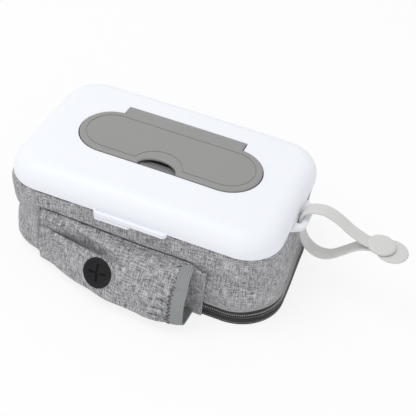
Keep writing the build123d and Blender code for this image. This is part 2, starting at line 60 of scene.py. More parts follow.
def span(x, riseFrom, riseTo, fallFrom, fallTo):
    return rise(x, riseFrom, riseTo) * fall(x, fallFrom, fallTo)


def bell(x, width):
    return np.exp(-(x / width) ** 2)


def columnsOf(*parts):
    return np.column_stack(np.broadcast_arrays(*parts))


def circle(sides):
    turn = np.linspace(0, 2 * math.pi, sides, endpoint=False)
    return columnsOf(np.cos(turn), np.sin(turn))


def softTable(x, keys, values, blur=1.6):
    # table lookup with its corners rounded off
    x = np.asarray(x, float)
    offsets = np.linspace(-2, 2, 9) * blur
    weights = bell(offsets, blur)
    return sum(w * np.interp(x + o, keys, values) for o, w in zip(offsets, weights)) / weights.sum()


def ripples(u, v, waves):
    # sum of sines, each with its size, length along u, climb with v, and phase
    return sum(size * np.sin(u / length + climb * v + phase) for size, length, climb, phase in waves)


def lengthsAlong(line):
    return np.concatenate([[0], np.cumsum(np.linalg.norm(np.diff(line, axis=0), axis=1))])


def pointsAt(at, along, line):
    return np.stack([np.interp(at, along, line[:, k]) for k in range(line.shape[1])], 1)


def tangentsOf(line):
    tangents = np.gradient(line, axis=0)
    return tangents / np.linalg.norm(tangents, axis=1)[:, None]


def squareTo(line):
    # unit vectors to the left of a flat line
    tangents = tangentsOf(line)
    return columnsOf(-tangents[:, 1], tangents[:, 0])


def atHeight(xy, z):
    return np.column_stack([xy, np.broadcast_to(z, len(xy))])


def splinePoints(controls, count):
    # Catmull-Rom through the controls, evenly spaced along its length
    controls = np.array(controls, float)
    padded = np.vstack([2 * controls[0] - controls[1], controls, 2 * controls[-1] - controls[-2]])
    t = np.linspace(0, 1, 24, endpoint=False)[:, None]
    fine = []
    for a, b, c, d in zip(padded, padded[1:], padded[2:], padded[3:]):
        cubic = (3 * b - a - 3 * c + d) * t ** 3
        fine.append(0.5 * (2 * b + (c - a) * t + (2 * a - 5 * b + 4 * c - d) * t ** 2 + cubic))
    fine = np.vstack(fine + [controls[-1:]])
    along = lengthsAlong(fine)
    return pointsAt(np.linspace(0, along[-1], count), along, fine)


def gridFaces(rows, columns, closed=False, keep=None, flip=False, capped=False):
    faces = []
    for r in range(rows - 1):
        for c in range(columns if closed else columns - 1):
            d = (c + 1) % columns
            if keep is not None and not (keep[r, c] and keep[r + 1, c] and keep[r, d] and keep[r + 1, d]):
                continue
            quad = (r * columns + c, r * columns + d, (r + 1) * columns + d, (r + 1) * columns + c)
            faces.append(quad[::-1] if flip else quad)
    if capped:
        ends = range(columns)[::-1], range((rows - 1) * columns, rows * columns)
        faces += [end[::-1] if flip else end for end in ends]
    return faces


def closedRings(rings, first, last):
    # skin over rings of points, from the point first to the point last
    count = len(rings[0])
    points = np.vstack([*rings, [first, last]])
    faces = gridFaces(len(rings), count, closed=True, flip=True)
    middle, end = len(points) - 2, (len(rings) - 1) * count
    for c in range(count):
        d = (c + 1) % count
        faces += [(c, d, middle), (end + d, end + c, middle + 1)]
    return points, faces


def sweepTube(path, radius, sides=12, upward=(0, 0, 1.0)):
    # round tube with closed ends, along a line that never runs along the upward direction
    tangents = tangentsOf(path)
    side = np.cross(tangents, upward)
    side /= np.linalg.norm(side, axis=1)[:, None]
    up = np.cross(side, tangents)
    turn = np.linspace(0, 2 * math.pi, sides, endpoint=False)[None]
    spokes = np.cos(turn)[..., None] * side[:, None] + np.sin(turn)[..., None] * up[:, None]
    faces = gridFaces(len(path), sides, closed=True, flip=True, capped=True)
    uv = np.stack(np.broadcast_arrays(lengthsAlong(path)[:, None], turn * radius), -1)
    return (path[:, None] + radius * spokes).reshape(-1, 3), faces, uv.reshape(-1, 2)


def addObject(name, data):
    thing = bpy.data.objects.new(name, data)
    bpy.context.scene.collection.objects.link(thing)
    return thing


def makePiece(name, points, faces, uv=None, finish=None, smooth=True):
    mesh = bpy.data.meshes.new(name)
    mesh.from_pydata((np.asarray(points, float) * mm).tolist(), [], [list(map(int, f)) for f in faces])
    if uv is not None:
        layer = mesh.uv_layers.new(name="cloth")
        loopVerts = np.zeros(len(mesh.loops), int)
        mesh.loops.foreach_get("vertex_index", loopVerts)
        layer.data.foreach_set("uv", np.asarray(uv, float)[loopVerts].ravel())
    mesh.polygons.foreach_set("use_smooth", [smooth] * len(mesh.polygons))
    mesh.update()
    if finish:
        mesh.materials.append(finishes[finish])
    return addObject(name, mesh)


def makeSheet(name, points, faces, uv, finish, thickness):
    # a sheet without its unused points, thickened inwards as plain mesh
    points, uv = np.reshape(points, (-1, 3)), np.reshape(uv, (-1, 2))
    used = sorted({i for f in faces for i in f})
    renumber = {old: new for new, old in enumerate(used)}
    faces = [[renumber[i] for i in f] for f in faces]
    piece = makePiece(name, points[used], faces, uv[used], finish)
    solid = piece.modifiers.new("thickness", "SOLIDIFY")
    solid.thickness, solid.offset, solid.use_rim = thickness * mm, -1.0, True
    plain = bpy.data.meshes.new_from_object(piece.evaluated_get(bpy.context.evaluated_depsgraph_get()))
    piece.modifiers.clear()
    old = piece.data
    piece.data = plain
    bpy.data.meshes.remove(old)
    return piece


# Node trees: an input takes a plain value or a link from another node's socket
def feed(node, inputs):
    for key, value in inputs.items():
        if isinstance(value, bpy.types.NodeSocket):
            node.id_data.links.new(value, node.inputs[key])
        else:
            node.inputs[key].default_value = value


def addNode(tree, kind, inputs=None, **settings):
    node = tree.nodes.new(kind)
    for key, value in settings.items():
        setattr(node, key, value)
    feed(node, inputs or {})
    return node


def combine(operation, *values):
    # a maths node in the tree of its first link
    tree = next(v.id_data for v in values if isinstance(v, bpy.types.NodeSocket))
    return addNode(tree, "ShaderNodeMath", dict(enumerate(values)), operation=operation).outputs[0]


def plus(a, b):
    return combine("ADD", a, b)


def times(a, b):
    return combine("MULTIPLY", a, b)


surfaceSockets = {"Color": "Color", "Height": "Float", "Roughness": "Float"}


def groupTree(name, inputs, outputs=surfaceSockets, kind="ShaderNodeTree"):
    tree = bpy.data.node_groups.new(name, kind)
    for direction, sockets in (("INPUT", inputs), ("OUTPUT", outputs)):
        for label, socketKind in sockets.items():
            tree.interface.new_socket(name=label, in_out=direction, socket_type="NodeSocket" + socketKind)
    return tree, tree.nodes.new("NodeGroupInput").outputs, tree.nodes.new("NodeGroupOutput")


# Camera at the photograph's angle
cameraView = {
    "lens": 86.54, "sensorWidth": 36, "clip": (0.02, 20), "azimuth": 17.11, "elevation": 41.4, "roll": 7.03,
    "distance": 689.3, "target": (41.11, -24.32, 62.5),
}


def placeCamera(v):
    azimuth, elevation, roll = (math.radians(v[k]) for k in ("azimuth", "elevation", "roll"))
    level = math.cos(elevation)
    back = Vector((math.sin(azimuth) * level, -math.cos(azimuth) * level, math.sin(elevation)))
    right = (-back).cross(Vector((0, 0, 1))).normalized()
    up = right.cross(-back)
    rolledRight = right * math.cos(roll) + up * math.sin(roll)
    rolledUp = -right * math.sin(roll) + up * math.cos(roll)
    data = bpy.data.cameras.new("photoCamera")
    data.lens, data.sensor_width, data.sensor_fit = v["lens"], v["sensorWidth"], "HORIZONTAL"
    data.clip_start, data.clip_end = v["clip"]
    turn = np.eye(4)
    turn[:3, :3] = np.transpose([rolledRight, rolledUp, back])
    turn[:3, 3] = (np.array(v["target"]) + np.array(back) * v["distance"]) * mm
    camera = addObject("photoCamera", data)
    camera.matrix_world = Matrix(turn.tolist())
    bpy.context.scene.camera = camera


placeCamera(cameraView)

# Soft studio light and a pale floor; lights are in metres
studio = {
    "worldStrength": 0.74, "worldColour": (0.97, 0.98, 1.0, 1), "white": (1, 1, 1, 1), "aim": (0.02, 0, 0.03),
    "keyLight": {"power": 5.9, "size": 0.9, "place": (-0.5, -0.25, 1.3)},
    "fillLight": {"power": 1.1, "size": 1.0, "place": (0.8, -0.9, 0.6)},
    "floorColour": (0.95, 0.95, 0.955, 1), "floorGlow": 0.82, "floorReach": 4000, "floorZ": -0.1,
}


def areaLight(name, light, aim):
    data = bpy.data.lights.new(name, "AREA")
    data.shape, data.size, data.energy = "DISK", light["size"], light["power"]
    lamp = addObject(name, data)
    lamp.location = light["place"]
    lamp.rotation_euler = (Vector(aim) - Vector(light["place"])).to_track_quat("-Z", "Y").to_euler()


def mixShaders(tree, share, first, second, output):
    mix = addNode(tree, "ShaderNodeMixShader", {0: share, 1: first.outputs[0], 2: second.outputs[0]})
    addNode(tree, output, {0: mix.outputs[0]})


def emptyTree(owner):
    owner.use_nodes = True
    owner.node_tree.nodes.clear()
    return owner.node_tree


def buildStudio(s):
    for name in ("keyLight", "fillLight"):
        areaLight(name, s[name], s["aim"])
    world = bpy.data.worlds.new("paleStudio")
    bpy.context.scene.world = world
    tree = emptyTree(world)
    ray = addNode(tree, "ShaderNodeLightPath").outputs
    lightBack = addNode(tree, "ShaderNodeBackground", {0: s["worldColour"], 1: s["worldStrength"]})
    seenBack = addNode(tree, "ShaderNodeBackground", {0: s["white"]})
    eyeOrGloss = combine("MAXIMUM", ray["Is Camera Ray"], ray["Is Glossy Ray"])
    mixShaders(tree, eyeOrGloss, lightBack, seenBack, "ShaderNodeOutputWorld")
    paleFloor = bpy.data.materials.new("paleFloor")
    tree = emptyTree(paleFloor)
    diffuse = addNode(tree, "ShaderNodeBsdfDiffuse", {0: s["floorColour"]})
    glow = addNode(tree, "ShaderNodeEmission", {0: s["white"]})
    seen = times(addNode(tree, "ShaderNodeLightPath").outputs["Is Camera Ray"], s["floorGlow"])
    mixShaders(tree, seen, diffuse, glow, "ShaderNodeOutputMaterial")
    corners = [(x * s["floorReach"], y * s["floorReach"], s["floorZ"]) for x, y in ((-1, -1), (1, -1), (1, 1), (-1, 1))]
    floor = makePiece("paleFloor", corners, [(0, 1, 2, 3)], smooth=False)
    floor.data.materials.append(paleFloor)
    bpy.context.scene.view_settings.view_transform = "Standard"


buildStudio(studio)
print("camera and studio ready")


# Shader node groups shared by the finishes
def stretchedNoise(vector, scale, detail=2.0, rough=0.55):
    tree = vector.id_data
    mapped = addNode(tree, "ShaderNodeMapping", {"Scale": scale, "Vector": vector}).outputs[0]
    noise = {"Scale": 1.0, "Detail": detail, "Roughness": rough, "Vector": mapped}
    return addNode(tree, "ShaderNodeTexNoise", noise).outputs["Fac"]


weave = {
    # each noise's scale, share and detail: four of thread streaks, then a mottle
    "noises": [((0.16, 1.3, 1), 0.29, 1.5), ((1.35, 0.12, 1), 0.29, 1.5), ((0.55, 3.1, 1), 0.2, 1.5),
               ((3.1, 0.5, 1), 0.2, 1.5), ((0.06, 0.06, 1), 0.06, 2.0)],
    "middle": 0.52, "gain": 5.5, "threadPitch": 0.5, "crossHeight": 0.5, "streakHeight": 1.6,
    "roughDrift": 0.12, "rough": 0.78,
}


def buildHeatherWeave():
    # heather cloth in millimetre UVs: crossed thread streaks over a plain weave
    tree, given, out = groupTree("heatherWeave", {
        "Vector": "Vector", "Light Thread": "Color", "Dark Thread": "Color", "Contrast": "Float"})
    total = 0.0
    for scale, share, detail in weave["noises"]:
        total = plus(times(stretchedNoise(given["Vector"], scale, detail), share), total)
    stretched = times(combine("SUBTRACT", total, weave["middle"]), times(given["Contrast"], weave["gain"]))
    share = addNode(tree, "ShaderNodeClamp", {0: plus(stretched, 0.5)}).outputs[0]
    threads = {0: share, 6: given["Dark Thread"], 7: given["Light Thread"]}
    colour = addNode(tree, "ShaderNodeMix", threads, data_type="RGBA")
    split = addNode(tree, "ShaderNodeSeparateXYZ", {0: given["Vector"]}).outputs
    warp, weft = (combine("SINE", times(split[k], math.pi / weave["threadPitch"])) for k in (0, 1))
    feed(out, {
        "Color": colour.outputs[2],
        "Height": plus(times(times(warp, weft), weave["crossHeight"]), times(total, weave["streakHeight"])),
        "Roughness": plus(times(total, weave["roughDrift"]), weave["rough"]),
    })
    return tree


grain = {"detail": 2.0, "driftScale": 28.0, "driftDetail": 3.0, "roughDrift": 0.12}


def buildMouldedGrain():
    # fine moulded texture in object space: slight colour drift and roughness change
    tree, given, out = groupTree("mouldedGrain", {
        "Vector": "Vector", "Base": "Color", "Roughness Level": "Float", "Drift": "Float", "Grain Size": "Float"})
    vector = given["Vector"]
    fine = addNode(tree, "ShaderNodeTexNoise", {
        "Vector": vector, "Scale": given["Grain Size"], "Detail": grain["detail"]})
    slow = addNode(tree, "ShaderNodeTexNoise", {
        "Vector": vector, "Scale": grain["driftScale"], "Detail": grain["driftDetail"]})
    drift = combine("SUBTRACT", slow.outputs["Fac"], 0.5)
    gain = plus(times(drift, given["Drift"]), 1.0)
    colour = addNode(tree, "ShaderNodeVectorMath", {0: given["Base"], "Scale": gain}, operation="SCALE")
    feed(out, {
        "Color": colour.outputs[0], "Height": fine.outputs["Fac"],
        "Roughness": plus(times(drift, grain["roughDrift"]), given["Roughness Level"]),
    })
    return tree


ribs = {"fuzz": (2.5, 2.5, 1), "share": 0.5, "middle": 0.25, "roughDrift": 0.15, "rough": 0.7}


def buildRibbedCloth():
    # ribbed or twilled tape in millimetre UVs: ridges at a slant, with painted light on their crowns and painted shade
    # in their hollows
    tree, given, out = groupTree("ribbedCloth", {
        "Vector": "Vector", "Base": "Color", "Ribs Along": "Float", "Ribs Up": "Float", "Depth": "Float"})
    split = addNode(tree, "ShaderNodeSeparateXYZ", {0: given["Vector"]}).outputs
    phase = plus(times(split[0], given["Ribs Along"]), times(split[1], given["Ribs Up"]))
    wave = combine("SINE", times(phase, 2 * math.pi))
    fuzz = stretchedNoise(given["Vector"], ribs["fuzz"])
    height = plus(times(wave, ribs["share"]), times(fuzz, ribs["share"]))
    # painted light and painted shade: the colour is lightened where the ribs stand high and darkened in their hollows,
    # as strongly as the shade input sets
    shade = plus(times(plus(height, -ribs["middle"]), given["Depth"]), 1.0)
    colour = addNode(tree, "ShaderNodeVectorMath", {0: given["Base"], "Scale": shade}, operation="SCALE")
    feed(out, {
        "Color": colour.outputs[0], "Height": height,
        "Roughness": plus(times(fuzz, ribs["roughDrift"]), ribs["rough"]),
    })
    return tree


heatherWeave = buildHeatherWeave()
mouldedGrain = buildMouldedGrain()
ribbedCloth = buildRibbedCloth()

# for each finish: its group and that group's values, the bump's strength and distance, its shader's own values
looks = {
    "boardBlack": (mouldedGrain, {
        "Base": (0.05, 0.05, 0.05, 1), "Roughness Level": 0.6, "Drift": 0.1, "Grain Size": 1500,
    }, 0.2, 0.0002, {}),
    "heatherGrey": (heatherWeave, {
        "Light Thread": (0.645, 0.635, 0.645, 1), "Dark Thread": (0.10, 0.098, 0.102, 1), "Contrast": 1.05,
    }, 0.5, 0.0004, {"Sheen Weight": 0.25, "Sheen Roughness": 0.5, "Specular IOR Level": 0.25}),
    # in the ribbed finishes the fourth value sets how much painted light and painted shade follow the ribs
    "liningDark": (ribbedCloth, {
        "Base": (0.10, 0.10, 0.105, 1), "Ribs Along": 1.2, "Ribs Up": 1.2, "Depth": 0.3,
    }, 0.25, 0.0002, {"Specular IOR Level": 0.3}),
    "tapeBlack": (ribbedCloth, {
        "Base": (0.028, 0.028, 0.029, 1), "Ribs Along": 1.0, "Ribs Up": 0.55, "Depth": 0.9,
    }, 0.6, 0.0003, {"Sheen Weight": 0.2, "Specular IOR Level": 0.3}),
    "pipingGrey": (ribbedCloth, {
        "Base": (0.42, 0.42, 0.42, 1), "Ribs Along": 0.9, "Ribs Up": 0.9, "Depth": 0.35,
    }, 0.5, 0.0002, {"Specular IOR Level": 0.3}),
    "elasticGrey": (ribbedCloth, {
        "Base": (0.315, 0.325, 0.322, 1), "Ribs Along": 0.85, "Ribs Up": 0.0, "Depth": 0.3,
    }, 0.7, 0.0004, {"Sheen Weight": 0.15, "Specular IOR Level": 0.3}),
}

# for each moulding: colour, roughness, colour drift, grain size, the bump's strength, its shader's own values
mouldedBump = 0.0001
mouldedLooks = {
    "lidWhite": ((0.90, 0.915, 0.95, 1), 0.38, 0.012, 1500, 0.04, {"Specular IOR Level": 0.3}),
    "doorGrey": ((0.285, 0.285, 0.275, 1), 0.42, 0.05, 1500, 0.12, {}),
    "frameGrey": ((0.20, 0.20, 0.195, 1), 0.45, 0.05, 1500, 0.12, {}),
    "trayWhite": ((0.87, 0.88, 0.91, 1), 0.35, 0.012, 1500, 0.05, {}),
    "sealPale": ((0.66, 0.66, 0.64, 1), 0.6, 0.05, 1500, 0.1, {}),
    "rubberBlack": ((0.014, 0.014, 0.015, 1), 0.6, 0.3, 900, 0.25, {"Specular IOR Level": 0.18}),
    "siliconeGrey": ((0.655, 0.648, 0.63, 1), 0.55, 0.03, 1500, 0.06, {
        "Subsurface Weight": 0.08, "Subsurface Radius": (0.004, 0.004, 0.004), "Subsurface Scale": 0.5}),
    "zipMetal": ((0.16, 0.16, 0.155, 1), 0.34, 0.2, 700, 0.15, {"Metallic": 0.9}),
    # one coil colour in two copies: the upper coil painted pale as painted highlight, the lower coil painted dark as
    # painted shade
    "coilPaintedShade": ((0.27, 0.268, 0.262, 1), 0.32, 0.3, 700, 0.1, {"Metallic": 0.4}),
    "coilPaintedLight": ((0.56, 0.555, 0.54, 1), 0.35, 0.3, 700, 0.1, {"Metallic": 0.3}),
    "pinSteel": ((0.55, 0.55, 0.55, 1), 0.3, 0.05, 1500, 0.05, {"Metallic": 1.0}),
    "threadGrey": ((0.52, 0.52, 0.52, 1), 0.7, 0.2, 1500, 0.1, {}),
    "threadDark": ((0.05, 0.05, 0.055, 1), 0.7, 0.2, 1500, 0.1, {}),
}


def finishWith(name, group, values, bumpDepth, bumpDistance, shader):
    # one material: a group's colour, roughness and height into a Principled shader
    material = bpy.data.materials.new(name)
    material.use_nodes = True
    tree = material.node_tree
    if group is mouldedGrain:
        source = addNode(tree, "ShaderNodeTexCoord").outputs["Object"]
    else:
        source = addNode(tree, "ShaderNodeUVMap", uv_map="cloth").outputs[0]
    pattern = addNode(tree, "ShaderNodeGroup", {"Vector": source, **values}, node_tree=group)
    bump = addNode(tree, "ShaderNodeBump", {
        "Strength": bumpDepth, "Distance": bumpDistance, "Height": pattern.outputs["Height"]})
    feed(tree.nodes["Principled BSDF"], {
        **shader, "Normal": bump.outputs[0],
        "Base Color": pattern.outputs["Color"], "Roughness": pattern.outputs["Roughness"],
    })
    return material


finishes = {name: finishWith(name, *look) for name, look in looks.items()}
for name, (colour, rough, drift, grainSize, bumpDepth, shader) in mouldedLooks.items():
    values = {"Base": colour, "Roughness Level": rough, "Drift": drift, "Grain Size": grainSize}
    finishes[name] = finishWith(name, mouldedGrain, values, bumpDepth, mouldedBump, shader)
print("finishes ready")

cadFinishes = {
    "case_lid": "lidWhite", "case_tray": "trayWhite", "lid_seal": "sealPale", "lid_hinge_pins": "pinSteel",
    "door_frame": "frameGrey", "door_hinge_pin": "pinSteel", "flip_door": "doorGrey", "door_seal": "sealPale",
    "outlet_washer": "rubberBlack", "base_board": "boardBlack",
    "zip_slider": "zipMetal", "zip_pull": "zipMetal", "zip_stops_lower": "zipMetal", "zip_stops_upper": "zipMetal",
}
for nodeName, finish in cadFinishes.items():
    node = cadNodes[nodeName]
    node.data.materials.clear()
    node.data.materials.append(finishes[finish])
    node.data.polygons.foreach_set("material_index", [0] * len(node.data.polygons))

# Outlines of the pouch, drawn round from the front's left end, anticlockwise seen from above.
# Outlines are left, right, half width and corner; pull, lean and tuck are heights and depths.
outlineSteps = {"front": 130, "end": 40, "corner": 34}
pouchShape = {
    "zipZ": 12.8, "topZ": 61.5, "zipOutline": (-101.0, 106.0, 62.5, 34.0), "topOutline": (-99.1, 99.1, 61.6, 26.1),
    "gussetX": -66.2, "thickness": 2.0, "rowStep": 0.85, "footRows": (0.5, 12.0, 15),
    "pull": ([0, 12.8, 22, 32, 42, 50, 56, 61.5], [2.9, 4.8, 6.0, 6.4, 5.6, 4.0, 1.8, 0.0]),
    "lean": ([0, 3, 7, 12.8, 20, 34, 48], [0.0, 0.0, 0.5, 1.6, 1.5, 0.8, 0.0]),
    "tuck": ([0, 2, 5, 8, 11], [5.8, 3.6, 1.2, 0.1, 0.0]),
    "pullX": (68, 97), "pullY": (-34, 42), "leanX": (76, 98), "tuckX": (-75, -66.5),
}


def outlineLoop(left, right, half, corner):
    # each side runs up to its corner, whose centre stands a corner's radius inside
    centres = np.array([(right - corner, corner - half), (right - corner, half - corner),
                        (left + corner, half - corner), (left + corner, corner - half)])
    sides = ((0, -1), "front"), ((1, 0), "end"), ((0, 1), "front"), ((-1, 0), "end")
    points, normals = [], []
    for k, (face, steps) in enumerate(sides):
        start, end = centres[[k - 1, k]] + corner * np.array(face)
        count = outlineSteps[steps]
        points.append(start + (end - start) * np.linspace(0, 1, count, endpoint=False)[:, None])
        normals.append(np.broadcast_to(face, (count, 2)))
        turn = (k - 1) * math.pi / 2 + np.linspace(0, math.pi / 2, outlineSteps["corner"], endpoint=False)
        spokes = columnsOf(np.cos(turn), np.sin(turn))
        points.append(centres[k] + corner * spokes)
        normals.append(spokes)
    return np.vstack(points), np.vstack(normals)


def settle(xy, normals, z):
    # the soft pouch draws in and leans at the strap end, and rolls under at the hinge end
    shape, x = pouchShape, xy[:, 0]
    pull = rise(x, *shape["pullX"]) * rise(xy[:, 1], *shape["pullY"]) * np.interp(z, *shape["pull"])
    lean = rise(x, *shape["leanX"]) * np.interp(z, *shape["lean"])
    tuck = fall(x, *shape["tuckX"]) * np.interp(z, *shape["tuck"])
    return xy - normals * (tuck + lean)[:, None] - columnsOf(pull, 0)


def outlineAt(z, inset=0.0):
    shape = pouchShape
    t = np.clip((z - shape["zipZ"]) / (shape["topZ"] - shape["zipZ"]), 0, 1)
    left, right, half, corner = (a + (b - a) * t for a, b in zip(shape["zipOutline"], shape["topOutline"]))
    xy, normals = outlineLoop(left + inset, right - inset, half - inset, corner - inset)
    return settle(xy, normals, z), normals


midLoop, _ = outlineAt(30.0)
loopLength = lengthsAlong(np.vstack([midLoop, midLoop[:1]]))[:-1]
loopCount = len(midLoop)

# How far the soft wall swells at each height, by side, with its creases and small folds
swell = {
    "left": ([8, 12.8, 16, 20, 25, 28, 29.3, 30.6, 33, 36, 40, 44, 47, 50, 54, 58, 61.5],
             [0.6, 0.2, -0.5, -0.9, -1.5, -2.0, -2.5, -2.1, -1.2, 0.0, 1.3, 1.9, 2.4, 2.5, 2.1, 1.7, 0.5], 0.6),
    "front": ([0, 12.8, 16, 22, 28, 33, 37, 40.5, 43, 46, 50, 55, 61.5],
              [0, 0, 1.2, 2.2, 1.8, 0.5, -0.9, -1.4, 0.0, 2.4, 2.6, 1.8, 0], 0.9),
    "overPocket": ([0, 12.8, 30, 43.0, 45.2, 46.4, 48, 52, 57, 61.5],
                   [0, 0, 0, -0.2, -0.4, 1.2, 2.0, 2.3, 1.5, 0], 0.4),
    "right": ([0, 12.8, 17, 24, 30, 33.8, 36, 42, 50, 57, 61.5],
              [0, 0, 0.5, 1.2, 0.7, -0.3, 0.2, 1.2, 1.6, 1.0, 0], 1.6),
    # sides are told apart by which way the wall faces
    "leftTurn": (0.0, 0.4, 1.9, 2.9), "rightFace": (0.25, 0.95), "pocketFace": (0.6, 0.95),
    "pocketX": (-72, -66.9, 54, 62),
    # the left end's crease comes down from the pocket's seam
    "creaseFront": 47.5, "creaseLeft": 29.0, "creaseTurn": (0.05, 1.0),
    "slitX": -67.9, "slitWidth": 0.9, "slitDepth": 1.4, "slitZ": (26, 34, 47.5, 49.5),
    "strapDip": 0.75, "strapDipWidth": 9.0, "foldZ": (12.8, 18, 56, 61), "footFold": 0.3,
    "wrinkle": 0.34, "overPocketCalm": 0.85,
    "folds": [(1, 9.1, 0.13, 0.0), (1, 5.3, -0.21, 1.3), (0.8, 15.7, 0.31, 4.0)], "leftFold": (0.7, 3.4, 0.09, 2.1),
    "leftFoldLeast": 0.4, "fineCrease": (0.5, 4.3, 0.35), "creaseSway": (1.7, 21.0, 0, 0),
    "fineCreaseZ": 36, "fineCreaseReach": 7.0, "sideShare": 0.6,
}
pocketSeamRise = ([-66.6, 5.0], [3.0, 0.0])  # the pocket's top seam climbs a little towards its left end


def wallSwell(xy, normals, along, z):
    s, x = swell, xy[:, 0]
    turned = np.arctan2(-normals[:, 0], -normals[:, 1])  # 0 at the front, a quarter turn at the left end
    left = span(turned, *s["leftTurn"])
    right = rise(normals[:, 0], *s["rightFace"])
    side = 1 - left - right
    top, foot = pouchShape["topZ"], s["creaseLeft"]
    creaseZ = s["creaseFront"] + (foot - s["creaseFront"]) * rise(turned, *s["creaseTurn"])
    fromCrease = np.where(z < creaseZ, z * foot / creaseZ, foot + (z - creaseZ) * (top - foot) / (top - creaseZ))
    overPocket = rise(-normals[:, 1], *s["pocketFace"]) * span(x, *s["pocketX"])
    seamZ = z - np.interp(x, *pocketSeamRise)
    front = (1 - overPocket) * softTable(z, *s["front"]) + overPocket * softTable(seamZ, *s["overPocket"])
    amount = left * softTable(fromCrease, *s["left"]) + right * softTable(z, *s["right"]) + side * front
    slit = bell(x - s["slitX"], s["slitWidth"]) * (xy[:, 1] < 0)
    amount = amount - s["slitDepth"] * slit * span(z, *s["slitZ"])
    amount = amount * (1 - s["strapDip"] * right * bell(xy[:, 1], s["strapDipWidth"]))
    fade = span(z, *s["foldZ"]) if z >= pouchShape["zipZ"] else s["footFold"] * left
    folds = ripples(along, z, s["folds"]) + ripples(along, z, [s["leftFold"]]) * (left + s["leftFoldLeast"])
    fineCrease = ripples(along, z, [(*s["fineCrease"], ripples(along, z, [s["creaseSway"]]))])
    creases = fineCrease * bell(z - s["fineCreaseZ"], s["fineCreaseReach"]) * (right + s["sideShare"] * side)
    return amount + (s["wrinkle"] * folds + creases) * fade * (1 - s["overPocketCalm"] * overPocket)


# Pouch wall: one skin from the lid down to the zip, and on to the floor at the left end
wallTop = {"catchX": (-26.6, 1.1), "catchY": -55, "catchZ": 58.1, "lugX": 90, "lugHalf": 20.6, "lugZ": 58.5}


def topEdge(xy, z, inset, catchZ, lugZ):
    # the wall's heights, kept below the catch tab and the strap lug
    heights = np.full(len(xy), z)
    low, high = wallTop["catchX"]
    underCatch = (xy[:, 1] < wallTop["catchY"] + inset) & (xy[:, 0] > low) & (xy[:, 0] < high)
    underLug = (xy[:, 0] > wallTop["lugX"] - inset) & (np.abs(xy[:, 1]) < wallTop["lugHalf"])
    heights[underCatch] = np.minimum(z, catchZ)
    heights[underLug] = np.minimum(z, lugZ)
    return heights


def buildWall():
    shape = pouchShape
    wallRows = np.arange(shape["zipZ"], shape["topZ"], shape["rowStep"])
    wallRows[-1] = shape["topZ"]
    zRows = np.concatenate([np.linspace(*shape["footRows"]), wallRows])
    rows, uvs, keep = [], [], []
    for z in zRows:
        xy, normals = outlineAt(z)
        heights = topEdge(xy, z, 0, wallTop["catchZ"], wallTop["lugZ"])
        rows.append(atHeight(xy + normals * wallSwell(xy, normals, loopLength, z)[:, None], heights))
        uvs.append(columnsOf(loopLength, heights))
        keep.append((xy[:, 0] <= shape["gussetX"]) | (z >= shape["zipZ"]))
    faces = gridFaces(len(zRows), loopCount, closed=True, keep=np.array(keep))
    piece = makeSheet("pouchSkin", rows, faces, uvs, "heatherGrey", shape["thickness"])
    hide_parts("pouch_wall", "hinge_gusset")
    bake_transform(piece)


buildWall()
print("pouch wall ready")

lining = {"rows": (13.0, 60.8, 20), "inset": 2.45, "thickness": 0.5, "tabZ": 57.8}


def buildLining():
    rows, uvs = [], []
    for z in np.linspace(*lining["rows"]):
        xy, normals = outlineAt(z, lining["inset"])
        dip = np.minimum(wallSwell(xy, normals, loopLength, z), 0)  # stays inside the wall's creases
        xy = xy + normals * dip[:, None]
        rows.append(atHeight(xy, topEdge(xy, z, lining["inset"], lining["tabZ"], lining["tabZ"])))
        uvs.append(atHeight(loopLength, z))
    faces = gridFaces(len(rows), loopCount, closed=True)
    piece = makeSheet("pouchInside", rows, faces, uvs, "liningDark", lining["thickness"])
    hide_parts("pouch_lining")
    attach(piece, "pouch")


buildLining()

# Base: a soft-edged cloth panel under the pouch, as insets and heights from its top to the floor
base = {"profile": [(2.2, 2.4), (1.0, 2.4), (1.0, 1.4), (1.25, 0.6), (1.8, 0.12), (2.8, 0.0)], "middle": (2.5, 0)}


def buildBase():
    loops = [outlineAt(z, inset)[0] for inset, z in base["profile"]]
    rings = [atHeight(xy, z) for xy, (_, z) in zip(loops, base["profile"])]
    points, faces = closedRings(rings, (*base["middle"], base["profile"][0][1]), (*base["middle"], 0.0))
    uv = np.vstack([*loops, [base["middle"]] * 2])
    piece = makePiece("baseCloth", points, faces, uv, "heatherGrey")
    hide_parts("base_panel")
    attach(piece, "base")


buildBase()

# Zip: tape bands, coils and piping, from behind the pocket panel round to the back's left end
zipRun = {
    "startX": -66.0, "cornerX": 71.9, "step": 0.8, "straightOn": 0.999,
    "tapeLow": (0.5, 5.6), "tapeHigh": (9.5, 12.8), "tapeColumns": 460, "tapeLength": 445,
    "tapeDepth": 0.95, "tapeBulge": 0.12, "tapeRound": (0.2, 0.3),
    "toothSize": (0.75, 1.35, 1.6), "toothPitch": 1.35, "toothOut": -0.3, "toothStep": 0.4, "toothJitter": 0.06,
    "teethFromEnd": 2.6, "seed": 3, "stitches": (2.2, 59.0, 0.25), "stitchScale": 0.6,
    # the lower teeth take the painted-shade copy of the coil colour, the upper teeth the painted-highlight copy
    "teeth": [("zipTeethLow", 6.5, "zip_coil_lower", "base", "coilPaintedShade"),
              ("zipTeethHigh", 8.7, "zip_coil_upper", "pouch", "coilPaintedLight")],
    "pipingZ": 13.3, "pipingRadius": 0.8, "pipingOut": 0.1, "pipingStartX": 58.3, "pipingStep": 1.0,
}


